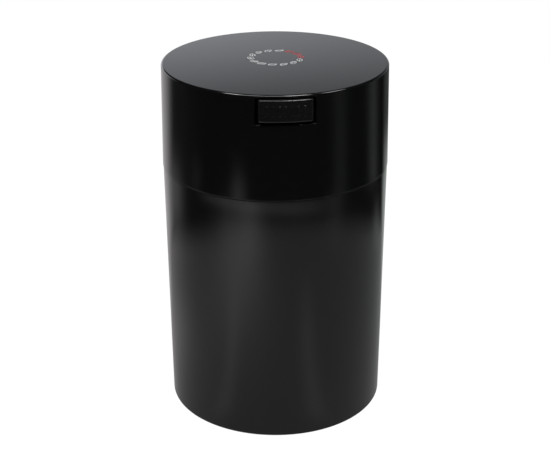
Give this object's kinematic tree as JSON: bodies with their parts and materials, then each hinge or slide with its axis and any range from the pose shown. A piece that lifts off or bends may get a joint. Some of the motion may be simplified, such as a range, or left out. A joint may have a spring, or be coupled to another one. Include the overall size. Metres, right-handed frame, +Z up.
{
  "type": "vacuum coffee canister",
  "caption": "Round black vacuum canister for coffee: a tumbler with a stepped-in neck, a deep slip-on cap sealed by a ring, and a push-button vent valve in the cap's skirt.",
  "frame": {"origin": "centre of the foot ring, on the surface that the canister stands on", "axes": "+Z up along the canister's axis; the button faces -Y; +X is to the right as the button is seen from outside"},
  "size_m": [0.1204, 0.1216, 0.1917],
  "materials": {
    "body_plastic": "semi-gloss black moulded plastic",
    "cap_plastic": "gloss black moulded plastic, finely satin on the flat top",
    "button_plastic": "gloss black moulded plastic",
    "silicone": "matte dark grey silicone",
    "spring_steel": "plain spring steel"
  },
  "bodies": {
    "canister": {"canister_body": "body_plastic"},
    "seal": {"neck_seal": "silicone"},
    "cap": {"cap_shell": "cap_plastic", "return_spring": "spring_steel"},
    "button": {"vent_button": "button_plastic", "valve_washer": "silicone", "stem_clip": "spring_steel"}
  },
  "joints": [
    {"name": "cap_turn", "type": "hinge", "parent": "canister", "child": "seal", "pos_m": [0, 0, 0.1368], "axis": [0, 0, 1], "continuous": true},
    {"name": "cap_lift", "type": "slide", "parent": "seal", "child": "cap", "axis": [0, 0, 1], "range_m": [0, 0.06]},
    {"name": "button_press", "type": "slide", "parent": "cap", "child": "button", "axis": [0, 1, 0], "range_m": [0, 0.0026], "stiffness_N_per_m": 500, "springref_m": -0.004, "deforming": ["return_spring"]}
  ]
}
